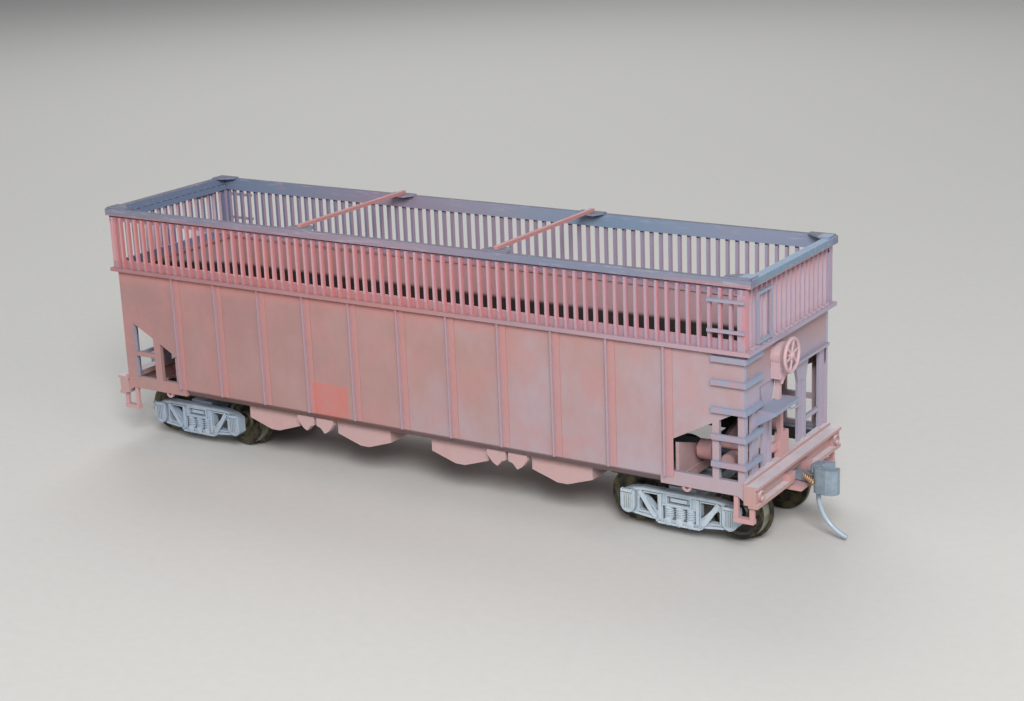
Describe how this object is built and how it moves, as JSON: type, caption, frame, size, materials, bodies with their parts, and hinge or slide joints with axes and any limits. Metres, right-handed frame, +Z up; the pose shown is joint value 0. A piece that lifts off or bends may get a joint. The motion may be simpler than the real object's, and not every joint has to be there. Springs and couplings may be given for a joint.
{
  "type": "scale model open hopper wagon with slatted coke racks",
  "caption": "Small-scale model of an open hopper rail wagon with tall slatted racks round the top, on two swivelling trucks with free-turning wheelsets and knuckle couplers.",
  "frame": {"origin": "on the table under the middle of the wagon, at the wheels' lowest points", "axes": "+X along the wagon to end B, the hand-brake end; +Y to the left side when facing end B; +Z up"},
  "size_m": [0.1592, 0.0354, 0.0485],
  "materials": {
    "body_paint": "matt weathered oxide paint on moulded plastic",
    "rail_paint": "matt blue-grey weathering over oxide paint",
    "slat_paint": "matt oxide paint with paler edges",
    "rung_paint": "matt blue-grey weathering",
    "underframe": "matt dark grey",
    "screw_steel": "plain steel screw",
    "truck_paint": "matt pale blue-grey",
    "coupler_metal": "grey chemically darkened casting",
    "wheel_metal": "turned metal wheel, darkened"
  },
  "bodies": {
    "root": {"side_sheet_right": "body_paint", "side_sheet_left": "body_paint", "end_sheet_a": "body_paint", "end_sheet_b": "body_paint", "slope_sheet_a": "body_paint", "slope_sheet_b": "body_paint", "cross_ridges": "body_paint", "hopper_chute_1": "body_paint", "hopper_chute_2": "body_paint", "hopper_chute_3": "body_paint", "hopper_chute_4": "body_paint", "hopper_doors": "body_paint", "door_latches": "body_paint", "centre_sill": "underframe", "side_sills": "underframe", "bolster_a": "body_paint", "bolster_b": "body_paint", "end_sill_a": "body_paint", "end_sill_b": "body_paint", "end_frame_a": "body_paint", "end_frame_b": "body_paint", "lower_rail": "rail_paint", "rack_side_right": "slat_paint", "rack_side_left": "slat_paint", "rack_end_a": "slat_paint", "rack_end_b": "slat_paint", "top_rail": "rail_paint", "tie_bar_a": "rail_paint", "tie_bar_b": "rail_paint", "ladder_right_b": "rung_paint", "ladder_left_a": "rung_paint", "rack_grabs_a": "rung_paint", "rack_grabs_b": "rung_paint", "step_stirrups": "rung_paint", "roping_eyes": "body_paint", "brake_wheel": "body_paint", "brake_gear_box": "body_paint", "brake_post": "body_paint", "brake_step": "body_paint", "air_tank": "body_paint", "brake_cylinder": "body_paint", "control_valve": "body_paint", "draft_box_a": "body_paint", "draft_box_b": "body_paint", "kingpin_a": "screw_steel", "kingpin_b": "screw_steel"},
    "truck_a": {"truck_bolster_a": "truck_paint", "sideframe_a_left": "truck_paint", "sideframe_a_right": "truck_paint"},
    "truck_b": {"truck_bolster_b": "truck_paint", "sideframe_b_left": "truck_paint", "sideframe_b_right": "truck_paint"},
    "wheelset_1": {"wheelset_1": "wheel_metal"},
    "wheelset_2": {"wheelset_2": "wheel_metal"},
    "wheelset_3": {"wheelset_3": "wheel_metal"},
    "wheelset_4": {"wheelset_4": "wheel_metal"},
    "coupler_a": {"coupler_a": "coupler_metal"},
    "knuckle_a": {"knuckle_a": "coupler_metal"},
    "coupler_b": {"coupler_b": "coupler_metal"},
    "knuckle_b": {"knuckle_b": "coupler_metal"}
  },
  "joints": [
    {"name": "truck_a_swivel", "type": "hinge", "parent": "root", "child": "truck_a", "pos_m": [-0.05385, 0, 0.0093], "axis": [0, 0, 1], "range_deg": [-6, 6]},
    {"name": "truck_b_swivel", "type": "hinge", "parent": "root", "child": "truck_b", "pos_m": [0.05385, 0, 0.0093], "axis": [0, 0, 1], "range_deg": [-6, 6]},
    {"name": "wheelset_1_spin", "type": "hinge", "parent": "truck_b", "child": "wheelset_1", "pos_m": [0.06348, 0, 0.00546], "axis": [0, 1, 0], "continuous": true},
    {"name": "wheelset_2_spin", "type": "hinge", "parent": "truck_b", "child": "wheelset_2", "pos_m": [0.04422, 0, 0.00546], "axis": [0, 1, 0], "continuous": true},
    {"name": "wheelset_3_spin", "type": "hinge", "parent": "truck_a", "child": "wheelset_3", "pos_m": [-0.04422, 0, 0.00546], "axis": [0, 1, 0], "continuous": true},
    {"name": "wheelset_4_spin", "type": "hinge", "parent": "truck_a", "child": "wheelset_4", "pos_m": [-0.06348, 0, 0.00546], "axis": [0, 1, 0], "continuous": true},
    {"name": "coupler_a_swing", "type": "hinge", "parent": "root", "child": "coupler_a", "pos_m": [-0.0642, 0, 0.01], "axis": [0, 0, 1], "range_deg": [-12, 12], "stiffness_Nm_per_rad": 0.00005},
    {"name": "knuckle_a_open", "type": "hinge", "parent": "coupler_a", "child": "knuckle_a", "pos_m": [-0.07425, 0.0014, 0.01], "axis": [0, 0, 1], "range_deg": [-25, 0], "stiffness_Nm_per_rad": 0.00001},
    {"name": "coupler_b_swing", "type": "hinge", "parent": "root", "child": "coupler_b", "pos_m": [0.0642, 0, 0.01], "axis": [0, 0, 1], "range_deg": [-12, 12], "stiffness_Nm_per_rad": 0.00005},
    {"name": "knuckle_b_open", "type": "hinge", "parent": "coupler_b", "child": "knuckle_b", "pos_m": [0.07425, -0.0014, 0.01], "axis": [0, 0, 1], "range_deg": [-25, 0], "stiffness_Nm_per_rad": 0.00001}
  ]
}
